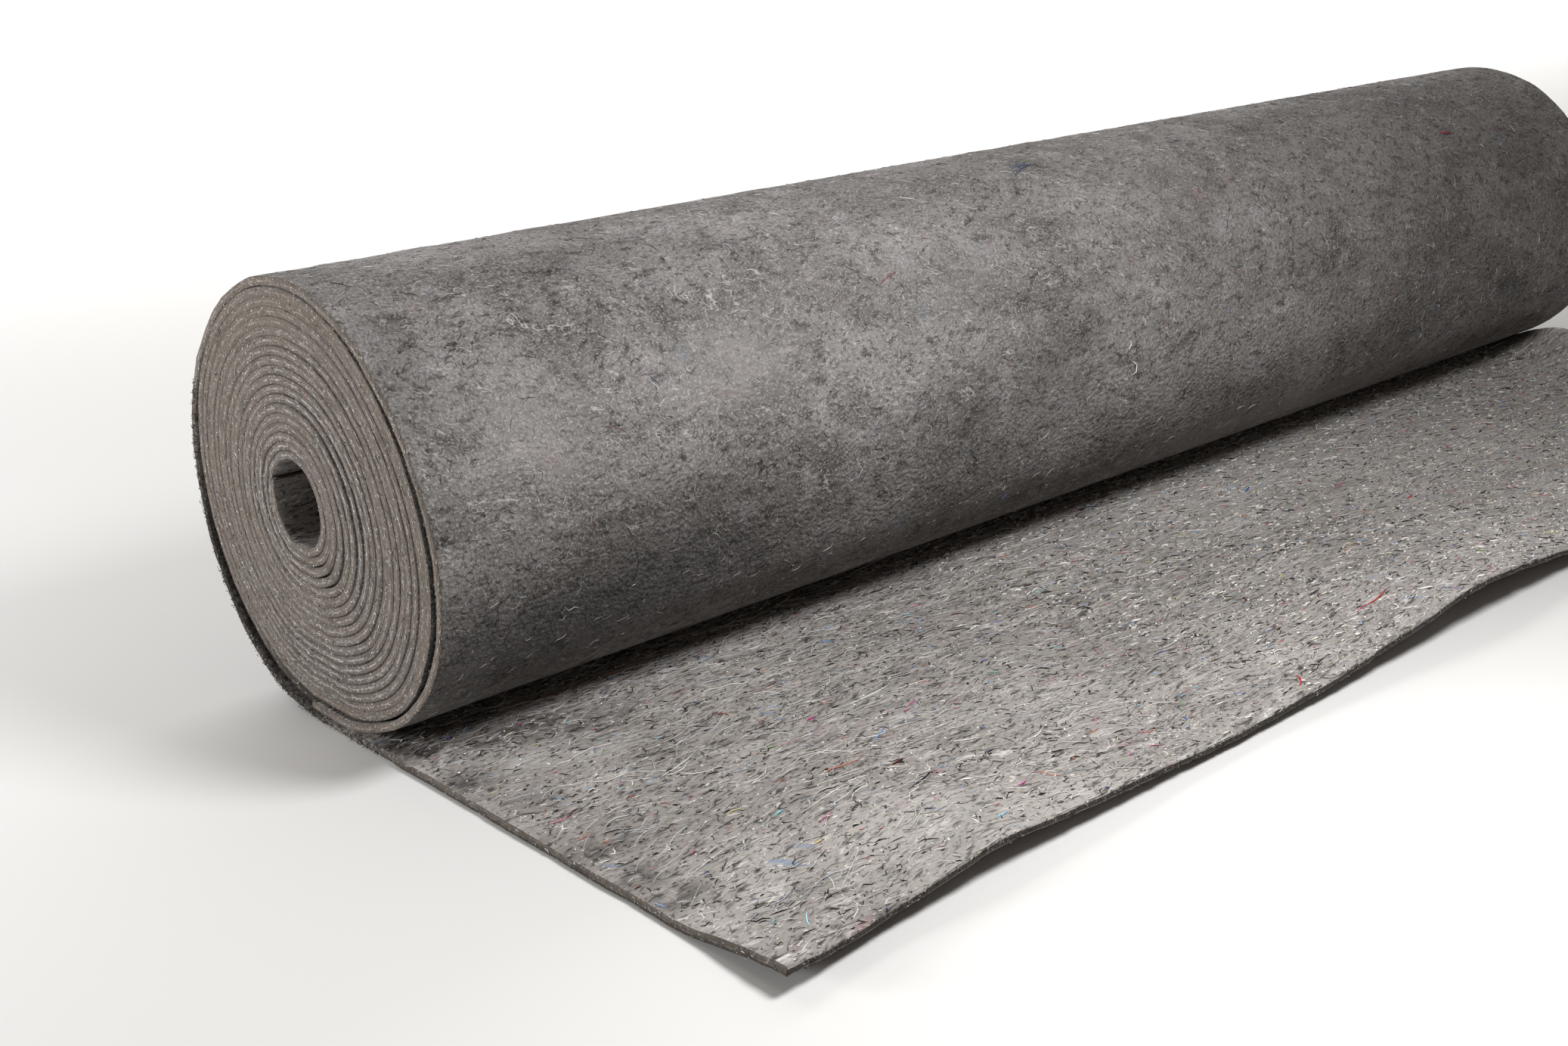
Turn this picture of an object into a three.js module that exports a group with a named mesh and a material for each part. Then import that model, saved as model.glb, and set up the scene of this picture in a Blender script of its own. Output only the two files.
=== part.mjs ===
// A roll of needled felt protection mat, lying on its loose end.
//
// Millimetres, +Z up. X runs along the roll, with the near end at -X. The floor is z = 0, and the
// roll's axis lies above the origin. The mat comes off the roll at the back (+Y), passes under it and
// lies on the floor in front of it (-Y). Seen from the near end it is wound up the back, over the top
// and down the front, and each turn goes inwards from there.
//
// Two solids: the wound roll, with the hole through its turns, and the loose end, which is the
// outermost turn together with the length that lies on the floor.

import * as THREE from 'three';

// Driving sizes
const matWidth = 1000;
const matThickness = 4;
const clearance = 0.3;
const axisHeight = 105.8;
const wallStep = 5;

// The hole through the turns, measured to the felt. The mat's inner end makes a step in it.
const hole = { y: 13, z: 104, radius: 18, endAngle: 24 };

// How far the near end leans back from top to bottom: the wound roll's, and the loose end's
const rollLean = 6;
const sheetLean = 2.5;

// The length on the floor lies flat from the roll to here, and is waved from here to its front edge
const flatUpTo = -130;
const flatSteps = 3;
const waveSteps = 7;

// The outermost turn, by the angle round the roll's axis in degrees: 0 is the back, 90 the top and 180
// the front. radius is that of its outer face, and air is the slack between it and the turns inside.
const firstAngle = -80;
const lastAngle = 280;
const outermostTurn = [
  { angle: -80, radius: 107.6, air: 0.0 },
  { angle: -62, radius: 110.4, air: 0.8 },
  { angle: -45, radius: 109.8, air: 1.0 },
  { angle: -20, radius: 107.8, air: 0.6 },
  { angle: 10, radius: 105.6, air: 0.3 },
  { angle: 45, radius: 103.7, air: 0.0 },
  { angle: 80, radius: 103.2, air: 0.0 },
  { angle: 110, radius: 101.0, air: 0.3 },
  { angle: 140, radius: 98.4, air: 2.2 },
  { angle: 165, radius: 100.4, air: 4.6 },
  { angle: 190, radius: 104.3, air: 6.0 },
  { angle: 210, radius: 106.0, air: 5.4 },
  { angle: 230, radius: 104.8, air: 2.0 },
  { angle: 250, radius: 102.6, air: 0.3 },
  { angle: 280, radius: 102.6, air: 0.0 },
];

// The front edge at each distance from the near end: its place along Y, how high it stands off the
// floor, and how far back from it that lift dies out
const frontEdge = [
  { along: 0, y: -306, lift: 7.5, reach: 65 },
  { along: 40, y: -303, lift: 5.5, reach: 90 },
  { along: 75, y: -301, lift: 7.0, reach: 130 },
  { along: 118, y: -300, lift: 10.3, reach: 165 },
  { along: 160, y: -300, lift: 8.0, reach: 165 },
  { along: 215, y: -300, lift: 5.3, reach: 140 },
  { along: 280, y: -300, lift: 3.2, reach: 120 },
  { along: 350, y: -300, lift: 5.5, reach: 140 },
  { along: 415, y: -300, lift: 10.7, reach: 165 },
  { along: 484, y: -300, lift: 17.0, reach: 170 },
  { along: 550, y: -300, lift: 13.0, reach: 165 },
  { along: 625, y: -300, lift: 6.0, reach: 150 },
  { along: 720, y: -300, lift: 1.0, reach: 120 },
  { along: 800, y: -301, lift: 0.0, reach: 120 },
  { along: 900, y: -302, lift: 3.0, reach: 110 },
  { along: 1000, y: -304, lift: 1.5, reach: 80 },
];

// A column of a table as a smooth curve over another
function curve(rows, key, column) {
  const places = rows.map((row) => row[key]);
  const values = rows.map((row) => row[column]);
  const spline = new THREE.CubicInterpolant(places, values, 1, new Float32Array(1));
  return (at) => spline.evaluate(at)[0];
}

const turnRadius = curve(outermostTurn, 'angle', 'radius');
const turnAir = curve(outermostTurn, 'angle', 'air');
const edgeY = curve(frontEdge, 'along', 'y');
const edgeLift = curve(frontEdge, 'along', 'lift');
const edgeReach = curve(frontEdge, 'along', 'reach');

// A point of the section at an angle and a distance from the roll's axis, no lower than rest
function aroundAxis(angle, radius, rest) {
  const turn = THREE.MathUtils.degToRad(angle);
  const point = new THREE.Vector2(radius * Math.cos(turn), axisHeight + radius * Math.sin(turn));
  point.y = Math.max(point.y, rest);
  return point;
}

// The outermost turn's outer face: on the floor where it comes off the roll, and on the felt below it
// where it goes under the roll again
function turnFace(angle, inset) {
  const floor = angle < 90 ? 0 : matThickness + clearance;
  return aroundAxis(angle, turnRadius(angle) - inset, floor + inset);
}

function angleSteps() {
  const count = Math.round((lastAngle - firstAngle) / wallStep);
  return Array.from({ length: count + 1 }, (_, i) => firstAngle + i * wallStep);
}

// A closed solid from points and triangles given by their places in the list of points
function solid(name, points, triangles, material) {
  const geometry = new THREE.BufferGeometry();
  geometry.setAttribute('position', new THREE.Float32BufferAttribute(points.flat(), 3));
  geometry.setIndex(triangles.flat());
  geometry.computeVertexNormals();
  const mesh = new THREE.Mesh(geometry, material);
  mesh.name = name;
  return mesh;
}

// The near end's place along X at a height: it leans back by the whole lean at the floor
function nearEnd(lean, height) {
  return -matWidth / 2 + lean * (1 - height / (2 * axisHeight));
}

const farEnd = matWidth / 2;

// The wound roll. Its outline is one turn of a spiral, with a step as high as the felt at the bottom
// where the outermost turn comes in, and its hole is the spiral's innermost turn.
function woundRoll(material) {
  const outline = angleSteps().map((angle) =>
    turnFace(angle, matThickness + clearance + Math.max(0, turnAir(angle)))
  );
  const inner = Array.from({ length: 360 / wallStep }, (_, i) => {
    const turn = (i * wallStep) / 360;
    const angle = THREE.MathUtils.degToRad(hole.endAngle + 360 * turn);
    const radius = hole.radius + matThickness * (1 - turn);
    return new THREE.Vector2(hole.y + radius * Math.cos(angle), hole.z + radius * Math.sin(angle));
  });
  const section = [...outline, ...inner];
  const count = section.length;
  const points = [
    ...section.map((p) => [nearEnd(rollLean, p.y), p.x, p.y]),
    ...section.map((p) => [farEnd, p.x, p.y]),
  ];
  const caps = THREE.ShapeUtils.triangulateShape(outline, [inner]);
  const triangles = caps.flatMap(([a, b, c]) => [[a, c, b], [a + count, b + count, c + count]]);
  const wall = (first, length, outward) => {
    for (let i = 0; i < length; i++) {
      const [a, b] = [first + i, first + ((i + 1) % length)];
      const [p, q] = outward ? [a, b] : [b, a];
      triangles.push([p, q, q + count], [p, q + count, p + count]);
    }
  };
  wall(0, outline.length, true);
  wall(outline.length, inner.length, false);
  return solid('wound_roll', points, triangles, material);
}

// A point of the length on the floor: at a distance from the near end, a part of the way from the
// front edge to where it lies flat, and a height in the felt
function wavedPoint(along, part, height) {
  const front = edgeY(along);
  const y = THREE.MathUtils.lerp(front, flatUpTo, part);
  const fade = 1 - THREE.MathUtils.smoothstep(y, front, front + edgeReach(along));
  return new THREE.Vector2(y, Math.max(0, edgeLift(along)) * fade + height);
}

// Triangles between two lines of points, which run the same way and may differ in how many they have
function stitch(a, b) {
  const triangles = [];
  const [endA, endB] = [a.length - 1, b.length - 1];
  for (let i = 0, j = 0; i < endA || j < endB; ) {
    if (i < endA && (i + 1) * endB <= (j + 1) * endA) {
      triangles.push([a[i], a[i + 1], b[j]]);
      i++;
    } else {
      triangles.push([a[i], b[j + 1], b[j]]);
      j++;
    }
  }
  return triangles;
}

// One face of the loose end: lines of points along X, from the front edge to the end of the outermost
// turn. A waved line has a point at each row of the front edge's table and halfway between, and a
// straight one has its two ends. height is 0 on the face that lies on the floor.
function looseEndFace(height) {
  const rows = frontEdge.map((row) => row.along);
  const waved = rows.flatMap((along, i) => (i ? [(rows[i - 1] + along) / 2, along] : [along]));
  const straight = [0, matWidth];
  const comesOff = turnFace(firstAngle, 0).x;
  const endGap = THREE.MathUtils.radToDeg(clearance / axisHeight);
  const line = (places, section) =>
    places.map((along) => {
      const p = section(along);
      const near = nearEnd(sheetLean, p.y);
      return [near + ((farEnd - near) * along) / matWidth, p.x, p.y];
    });
  const wavedLines = Array.from({ length: waveSteps + 1 }, (_, i) =>
    line(waved, (along) => wavedPoint(along, i / waveSteps, height))
  );
  const flatLines = Array.from({ length: flatSteps - 1 }, (_, i) => {
    const y = THREE.MathUtils.lerp(flatUpTo, comesOff, (i + 1) / flatSteps);
    return line(straight, () => new THREE.Vector2(y, height));
  });
  const woundLines = angleSteps().map((angle) =>
    line(straight, () => turnFace(Math.min(angle, lastAngle - endGap), height))
  );
  return [...wavedLines, ...flatLines, ...woundLines];
}

// The loose end: its two faces, and the four edges between them
function looseEnd(material) {
  const faces = [0, matThickness].map(looseEndFace);
  const points = faces.flat(2);
  let used = 0;
  const numbers = faces.map((lines) => lines.map((line) => line.map(() => used++)));
  const [under, upper] = numbers;
  const triangles = [];
  for (let s = 0; s + 1 < under.length; s++) {
    triangles.push(...stitch(under[s + 1], under[s]), ...stitch(upper[s], upper[s + 1]));
  }
  const edge = (a, b) => triangles.push(...stitch(a, b));
  const nearSide = (lines) => lines.map((line) => line[0]);
  const farSide = (lines) => lines.map((line) => line[line.length - 1]);
  edge(nearSide(upper), nearSide(under));
  edge(farSide(under), farSide(upper));
  edge(under[0], upper[0]);
  edge(upper[upper.length - 1], under[under.length - 1]);
  return solid('loose_end', points, triangles, material);
}

// Grey-brown felt needled from reclaimed fibres, darker on the cut edges than on the faces
const cutFelt = new THREE.MeshStandardMaterial({ color: 0x7a726b, roughness: 1, metalness: 0 });
const faceFelt = new THREE.MeshStandardMaterial({ color: 0x8e8883, roughness: 1, metalness: 0 });

const roll = new THREE.Group();
roll.add(woundRoll(cutFelt), looseEnd(faceFelt));

export default roll;
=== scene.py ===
"""A roll of needled felt protection mat that lies on its loose end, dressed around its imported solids.

Sizes are in millimetres and are turned to metres where a mesh is made. X runs along the roll, with the near
end at -X, +Y is the back, where the mat comes off the roll, and the floor is z = 0. A place on the mat is
told by strip, the way along the mat, along, the way from the near end, and height, the way through its
thickness from the face that lies on the floor and is the outer one on the roll.
"""

import bpy
import numpy as np
from mathutils import Matrix, Vector


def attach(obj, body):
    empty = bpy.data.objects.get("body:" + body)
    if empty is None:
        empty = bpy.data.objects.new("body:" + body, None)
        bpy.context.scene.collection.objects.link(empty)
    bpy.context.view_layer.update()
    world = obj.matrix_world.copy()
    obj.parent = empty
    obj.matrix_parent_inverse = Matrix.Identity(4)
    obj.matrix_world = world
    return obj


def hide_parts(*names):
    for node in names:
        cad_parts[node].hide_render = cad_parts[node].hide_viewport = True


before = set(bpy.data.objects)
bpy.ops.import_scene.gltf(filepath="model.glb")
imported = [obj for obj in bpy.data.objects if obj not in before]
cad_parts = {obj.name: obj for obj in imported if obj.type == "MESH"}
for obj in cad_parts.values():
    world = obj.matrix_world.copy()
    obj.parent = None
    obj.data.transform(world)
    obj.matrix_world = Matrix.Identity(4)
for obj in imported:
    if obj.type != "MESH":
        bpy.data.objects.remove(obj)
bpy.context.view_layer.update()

MM = 0.001
SEED = 7

# The floor's height in metres, just under the part so that the two don't lie in one plane
FLOOR = -0.0002

# The mat and the roll
MAT_WIDTH = 1000.0
MAT_THICKNESS = 4.0
CLEARANCE = 0.3
AXIS_HEIGHT = 105.8
FAR_END = MAT_WIDTH / 2
ROLL_LEAN = 6.0
SHEET_LEAN = 2.5
FLAT_UP_TO = -130.0

# The hole through the turns, with the angle at which the mat's inner end makes a step in it
HOLE_Y, HOLE_Z, HOLE_RADIUS, HOLE_END_ANGLE = 13.0, 104.0, 18.0, 24.0
INNER_TURNS = 18

# The outermost turn, by the angle round the roll's axis in degrees: 0 is the back, 90 the top and 180 the
# front. Columns: angle, radius of the outer face, air between this turn and the ones inside it
FIRST_ANGLE, LAST_ANGLE = -80.0, 280.0
OUTERMOST_TURN = np.array([
    (-80, 107.6, 0.0), (-62, 110.4, 0.8), (-45, 109.8, 1.0), (-20, 107.8, 0.6), (10, 105.6, 0.3),
    (45, 103.7, 0.0), (80, 103.2, 0.0), (110, 101.0, 0.3), (140, 98.4, 2.2), (165, 100.4, 4.6),
    (190, 104.3, 6.0), (210, 106.0, 5.4), (230, 104.8, 2.0), (250, 102.6, 0.3), (280, 102.6, 0.0),
])

# The front edge. Columns: distance from the near end, place along Y, lift off the floor, how far back from
# the edge the lift dies out
FRONT_EDGE = np.array([
    (0, -306, 7.5, 65), (40, -303, 5.5, 90), (75, -301, 7.0, 130), (118, -300, 10.3, 165),
    (160, -300, 8.0, 165), (215, -300, 5.3, 140), (280, -300, 3.2, 120), (350, -300, 5.5, 140),
    (415, -300, 10.7, 165), (484, -300, 17.0, 170), (550, -300, 13.0, 165), (625, -300, 6.0, 150),
    (720, -300, 1.0, 120), (800, -301, 0.0, 120), (900, -302, 3.0, 110), (1000, -304, 1.5, 80),
])

# The curl of the mat's far edge in front of the roll: its height at the edge, how far in from the edge it
# reaches, its middle along Y and its reach there
CURL_HEIGHT, CURL_WIDTH, CURL_Y, CURL_REACH = 20.0, 75.0, -84.0, 46.0

# Slack between the turns inside the outermost one. Columns: turn counted from outside and how many turns
# the slack is spread over, the angle and the spread of angles where it opens, and its width in all
SLACK = np.array([
    (2.5, 0.35, 185, 38, 0.9), (4.2, 0.35, 175, 34, 0.9), (11.2, 0.30, 165, 46, 1.5),
    (12.2, 0.30, 168, 44, 1.6), (13.2, 0.30, 172, 42, 1.6), (10.2, 0.30, 170, 44, 1.2),
    (16.0, 1.60, 250, 62, 2.2), (9.0, 5.00, 262, 50, 3.2), (14.6, 0.40, 215, 40, 1.0),
    (17.0, 1.00, 330, 60, 1.0),
])

# Where the cut ends of the turns stand apart, rather than being rubbed into one face. Columns: turn counted
# from outside and how many turns this takes in, the angle and the spread of angles, and how much it shows
SEPARATION = np.array([
    (15.8, 2.6, 315, 92, 1.0), (16.4, 1.6, 75, 40, 0.6), (11.2, 1.7, 165, 62, 1.1), (11.0, 1.6, 95, 40, 0.6),
    (6.0, 4.2, 262, 52, 0.9), (7.5, 3.2, 100, 46, 0.55), (4.2, 0.5, 185, 60, 0.8), (2.4, 0.4, 185, 60, 0.7),
])

# Lighter and darker clouds laid over the felt's colour, listed one by one, with painted light and shade
# among them.
# Columns: place along, place on the strip as millimetres from the front edge or as degrees round the roll,
# the reach each way in millimetres, how much
# On the mat the first row, broad and light over the far part, is painted light where the lamp's light falls
# off; the others are lighter and darker clouds
MAT_CLOUDS_AND_PAINTED_LIGHT = np.array([
    (780, 120, 260, 260, 0.26), (550, 205, 120, 30, 0.26), (105, 30, 40, 30, 0.15), (240, 110, 60, 50, 0.1),
    (8, 262, 16, 14, -0.8), (14, 240, 16, 10, -0.8), (42, 234, 18, 8, -0.8), (62, 229, 18, 7, -0.6),
    (80, 217, 16, 6, -0.5), (6, 206, 13, 9, -0.8), (15, 120, 18, 8, -0.8), (10, 92, 13, 9, -0.8),
    (14, 70, 16, 8, -0.7), (20, 175, 14, 8, -0.5), (70, 190, 14, 7, 0.4), (40, 205, 14, 7, 0.35),
])
# On the roll the dark rows from 186 to 212 degrees are painted shade low on its front, and the light row at
# 222 degrees is painted light low on it far along; the others are lighter and darker clouds
ROLL_CLOUDS_AND_PAINTED_LIGHT_AND_SHADE = np.array([
    (60, 153, 22, 26, 0.35), (70, 168, 16, 16, 0.2), (184, 151, 30, 22, 0.4), (150, 158, 26, 18, 0.15),
    (334, 144, 40, 20, 0.2), (535, 124, 60, 30, 0.15), (620, 222, 160, 22, 0.4), (11, 132, 22, 30, -0.3),
    (145, 108, 60, 24, -0.25), (60, 205, 110, 42, -0.6), (150, 192, 60, 34, -0.3), (330, 186, 70, 30, -0.3),
    (300, 212, 160, 26, -0.25), (403, 172, 40, 30, -0.25), (860, 150, 150, 70, -0.3),
    (230, 128, 40, 14, 0.1), (760, 200, 200, 24, -0.2),
])

# The camera that the mat is seen from: its place in metres, lens and sensor in millimetres, turns in degrees
CAMERA_PLACE = (-0.88935, -0.74089, 0.37894)
CAMERA_LENS, CAMERA_SENSOR = 44.804, 36.0
CAMERA_YAW, CAMERA_PITCH, CAMERA_ROLL = 47.759, 19.2746, -1.1852


def new_object(name, data):
    """An object of the scene with the given data."""
    made = bpy.data.objects.new(name, data)
    bpy.context.scene.collection.objects.link(made)
    return made


def photo_camera():
    """The camera: yaw turns it from +X towards +Y, pitch tips it down, and roll turns it about its view."""
    yaw, pitch, roll = np.radians([CAMERA_YAW, CAMERA_PITCH, CAMERA_ROLL])
    forward = Vector((np.cos(yaw) * np.cos(pitch), np.sin(yaw) * np.cos(pitch), -np.sin(pitch)))
    level = forward.cross(Vector((0, 0, 1))).normalized()
    upright = level.cross(forward)
    right = np.cos(roll) * level + np.sin(roll) * upright
    up = -np.sin(roll) * level + np.cos(roll) * upright
    data = bpy.data.cameras.new("camera")
    data.lens, data.sensor_width = CAMERA_LENS, CAMERA_SENSOR
    data.clip_start, data.clip_end = 0.01, 50
    camera = new_object("camera", data)
    turn = Matrix((right, up, -forward)).transposed().to_4x4()
    camera.matrix_world = Matrix.Translation(CAMERA_PLACE) @ turn
    bpy.context.scene.camera = camera


def curve(table, column, at):
    """A smooth curve through a column of a table over its first column: cubics whose slope at a row is the
    mean of the slopes on its two sides, and nothing at the table's ends."""
    x, y = table[:, 0], table[:, column]
    slope = np.diff(y) / np.diff(x)
    tangent = np.concatenate([[0.0], (slope[1:] + slope[:-1]) / 2, [0.0]])
    at = np.clip(at, x[0], x[-1])
    i = np.clip(np.searchsorted(x, at, side="right") - 1, 0, len(x) - 2)
    step = x[i + 1] - x[i]
    p = (at - x[i]) / step
    return (
        (2 * p**3 - 3 * p**2 + 1) * y[i] + (p**3 - 2 * p**2 + p) * step * tangent[i]
        + (3 * p**2 - 2 * p**3) * y[i + 1] + (p**3 - p**2) * step * tangent[i + 1]
    )


def smoothstep(x, low, high):
    """0 below low, 1 above high, and 3 t squared less 2 t cubed between them."""
    t = np.clip((x - low) / (high - low), 0, 1)
    return t * t * (3 - 2 * t)


def unevenness(a, b, size, seed):
    """A smooth random height over two lengths, mostly from -1 to 1: a quarter of the sum of twelve sine
    waves of random heading and phase, with wavelengths from size to three times size."""
    draw = np.random.default_rng(seed)
    total = 0.0
    for _ in range(12):
        heading, phase = draw.uniform(0, 2 * np.pi, 2)
        wave = 2 * np.pi / (size * draw.uniform(1, 3))
        total = total + np.sin(wave * (a * np.cos(heading) + b * np.sin(heading)) + phase)
    return total / 4


def turn_face(angle, inset):
    """The section's point (y, z) on the outermost turn's outer face, moved in by inset: the axis plus the
    radius at that angle, and no lower than the floor or, where the roll lies on the mat, than the mat."""
    radius = curve(OUTERMOST_TURN, 1, angle) - inset
    rest = np.where(angle < 90, 0, MAT_THICKNESS + CLEARANCE) + inset
    y = radius * np.cos(np.radians(angle))
    z = AXIS_HEIGHT + radius * np.sin(np.radians(angle))
    return y, np.maximum(z, rest)


def near_end(lean, z):
    """The near end's place along X: it leans back by the whole lean at the floor."""
    return -MAT_WIDTH / 2 + lean * (1 - z / (2 * AXIS_HEIGHT))


# Places on the strip, from its front edge: it is waved up to WAVED, flat on the floor up to ON_ROLL, and
# ends round the roll at LOOSE_LENGTH. WOUND_TURNS is how many turns lie inside the outermost one
WAVED = FLAT_UP_TO - FRONT_EDGE[:, 1].mean()
COMES_OFF = float(turn_face(np.array(FIRST_ANGLE), 0)[0])
FLAT = COMES_OFF - FLAT_UP_TO
MEAN_RADIUS = OUTERMOST_TURN[:, 1].mean()
ON_ROLL = WAVED + FLAT
LOOSE_LENGTH = ON_ROLL + np.radians(LAST_ANGLE - FIRST_ANGLE) * MEAN_RADIUS
END_GAP = np.degrees(CLEARANCE / AXIS_HEIGHT)
WOUND_TURNS = INNER_TURNS + (HOLE_END_ANGLE - FIRST_ANGLE) / 360


def far_curl(y, along):
    """How high the mat's far edge curls up in front of the roll: a square over the curl's width times a bell
    curve along Y, and no higher than the space under the roll."""
    edge = np.clip((along - MAT_WIDTH + CURL_WIDTH) / CURL_WIDTH, 0, 1) ** 2
    angle = 270 - np.degrees(np.arcsin(np.clip(-y / MEAN_RADIUS, 0, 1)))
    under_roll = AXIS_HEIGHT + curve(OUTERMOST_TURN, 1, angle) * np.sin(np.radians(angle))
    room = under_roll - MAT_THICKNESS - CLEARANCE
    return np.minimum(CURL_HEIGHT * edge * np.exp(-(((y - CURL_Y) / CURL_REACH) ** 2)), np.maximum(room, 0))


def loose_end_point(strip, along, height):
    """A point of the loose end, with strip from its front edge: on the floor it is the front edge's lift,
    which dies out by a smoothstep towards the roll, and then flat but for the far edge's curl, and round the
    roll it is turn_face."""
    front = curve(FRONT_EDGE, 1, along)
    waved = front + (FLAT_UP_TO - front) * np.clip(strip / WAVED, 0, 1)
    fade = 1 - smoothstep(waved, front, front + curve(FRONT_EDGE, 3, along))
    y = waved + np.clip(strip - WAVED, 0, FLAT)
    z = np.maximum(0, curve(FRONT_EDGE, 2, along)) * fade + far_curl(y, along) + height
    angle = FIRST_ANGLE + np.degrees((strip - ON_ROLL) / MEAN_RADIUS)
    turn_y, turn_z = turn_face(np.clip(angle, FIRST_ANGLE, LAST_ANGLE - END_GAP), height)
    y = np.where(strip > ON_ROLL, turn_y, y)
    z = np.where(strip > ON_ROLL, turn_z, z)
    near = near_end(SHEET_LEAN, z)
    return np.stack([near + (FAR_END - near) * along / MAT_WIDTH, y, z], -1)


def swell(strip, along):
    """How uneven the mat's faces are: slow and quicker waves of a fraction of a millimetre."""
    return 0.22 * unevenness(along, strip, 34, 11) + 0.12 * unevenness(along, strip, 12, 12)


# The stretches of the strip over which the outermost turn rises off the floor and comes down on the mat
RISES, COMES_DOWN = (ON_ROLL + 15, ON_ROLL + 60), (ON_ROLL + 565, ON_ROLL + 600)


def off_floor(strip):
    """1 where the outermost turn's outer face stands clear of the floor and of the mat, and 0 elsewhere."""
    return smoothstep(strip, *RISES) * (1 - smoothstep(strip, *COMES_DOWN))


def upper_face(strip, along, rise):
    """A point that stands off the face that is up on the floor."""
    return loose_end_point(strip, along, MAT_THICKNESS + swell(strip, along) + rise)


def outer_face(strip, along, rise):
    """A point that stands off the face that is outside on the roll."""
    return loose_end_point(strip, along, -np.abs(swell(strip, along)) * off_floor(strip) - rise)


def tone_and_painted_light(strip, along):
    """How much lighter or darker the felt is drawn, from -1 to 1: the sum of the bell curves in the two
    tables, which hold painted light and shade as well as clouds.
    """
    angle = ROLL_CLOUDS_AND_PAINTED_LIGHT_AND_SHADE[:, 1] - FIRST_ANGLE
    on_roll = ON_ROLL + np.radians(angle) * MEAN_RADIUS
    places = np.concatenate([MAT_CLOUDS_AND_PAINTED_LIGHT[:, 1], on_roll])
    total = 0.0
    for row, place in zip(np.concatenate([MAT_CLOUDS_AND_PAINTED_LIGHT, ROLL_CLOUDS_AND_PAINTED_LIGHT_AND_SHADE]), places):
        off = -(((along - row[0]) / row[2]) ** 2) - ((strip - place) / row[3]) ** 2
        total = total + row[4] * np.exp(off)
    return np.clip(total, -1, 1)


def slack(turn, angle):
    """The slack passed on the way in to a turn at an angle: each row of the table opens by a tanh over its
    turns, and round its angle by a bell curve."""
    total = 0.0
    for centre, turns, towards, spread, width in SLACK:
        off = (angle - towards + 180) % 360 - 180
        total = total + width * 0.5 * (1 + np.tanh((turn - centre) / turns)) * np.exp(-((off / spread) ** 2))
    return total


def separation(turn):
    """How far the cut ends of the turns stand apart, from 0 to 1: a tenth plus the table's bell curves."""
    angle = FIRST_ANGLE + 360 * (turn % 1)
    total = 0.1
    for centre, turns, towards, spread, amount in SEPARATION:
        off = (angle - towards + 180) % 360 - 180
        total = total + amount * np.exp(-(((turn - centre) / turns) ** 2) - (off / spread) ** 2)
    return np.clip(total, 0, 1)


def hole_radius(turn):
    """The hole's radius along the innermost turn, which ends a mat's thickness further in than it starts."""
    return HOLE_RADIUS + MAT_THICKNESS * (WOUND_TURNS - turn)


def section_lines():
    """For each degree round the roll: the point on the outside of the wound turns, the unit way from there
    to the hole, the pitch of the turns, and what the first turn takes beyond it to meet the step where the
    outermost turn comes in. The pitch is the way to the hole, less the slack and one thickness, over the
    turns in it, smoothed round the roll by a bell curve."""
    angle = np.arange(FIRST_ANGLE, LAST_ANGLE)
    start = (angle - FIRST_ANGLE) / 360
    inset = MAT_THICKNESS + CLEARANCE + np.maximum(0, curve(OUTERMOST_TURN, 2, angle))
    outer = np.stack(turn_face(angle, inset), -1)
    turns = np.floor(WOUND_TURNS - start)
    radius = hole_radius(start + turns)
    inner = np.stack([
        HOLE_Y + radius * np.cos(np.radians(angle)), HOLE_Z + radius * np.sin(np.radians(angle)),
    ], -1)
    way = inner - outer
    depth = np.linalg.norm(way, axis=1)
    passed = slack(start + turns, angle) - slack(start, angle)
    pitch = (depth - MAT_THICKNESS - passed) / turns
    step = outer[-1, 1] - outer[0, 1]
    patch = (step - pitch[-1]) * (1 - smoothstep(angle, FIRST_ANGLE, 60.0))
    pitch = pitch - patch / turns
    reach, spread = 30, 12
    bell = np.exp(-((np.arange(-reach, reach + 1) / spread) ** 2))
    pitch = np.convolve(np.concatenate([pitch[-reach:], pitch, pitch[:reach]]), bell / bell.sum(), "valid")
    return angle, outer, way / depth[:, None], pitch, patch


LINES = section_lines()


def depth_at(turn):
    """How deep a turn's outer face lies along its section line: the pitch times the turns passed, and the
    slack between them."""
    angles, _, _, pitch, patch = LINES
    start = turn % 1
    angle = FIRST_ANGLE + 360 * start
    at = [np.interp(angle, angles, column, period=360) for column in (pitch, patch)]
    return (
        at[0] * (turn - start) + at[1] * smoothstep(turn, 0.0, 1.0)
        - at[1] * smoothstep(start, 0.0, 1.0) + slack(turn, angle) - slack(start, angle)
    )


def wound_point(turn, height):
    """The section's point (y, z) in the wound turns: the line from the outside to the hole at that turn's
    angle, followed to the turn's depth and on by height."""
    angles, outer, way, _, _ = LINES
    angle = FIRST_ANGLE + 360 * (turn % 1)
    y, z, way_y, way_z = [
        np.interp(angle, angles, column) for column in (outer[:, 0], outer[:, 1], way[:, 0], way[:, 1])
    ]
    depth = depth_at(turn) + height
    return y + way_y * depth, z + way_z * depth


# The least gap between turns and how far the felt swells into the slack, in millimetres, and the share by
# which its inner end is crushed
TURN_GAP, SWELLING, CRUSHED = 0.05, 0.4, 0.45


def wound_thickness(turn):
    """The felt's thickness in the wound turns: it swells or is pressed to fill their pitch, as far as it
    can, and its inner end is crushed thinner."""
    room = depth_at(turn + 1) - depth_at(turn) - TURN_GAP
    innermost = smoothstep(turn, WOUND_TURNS - 1, WOUND_TURNS - 0.7)
    pressed = np.minimum(MAT_THICKNESS + SWELLING, room)
    crushed = 1 - CRUSHED * smoothstep(turn, WOUND_TURNS - 0.12, WOUND_TURNS)
    return (pressed + (MAT_THICKNESS - pressed) * innermost) * crushed


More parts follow.
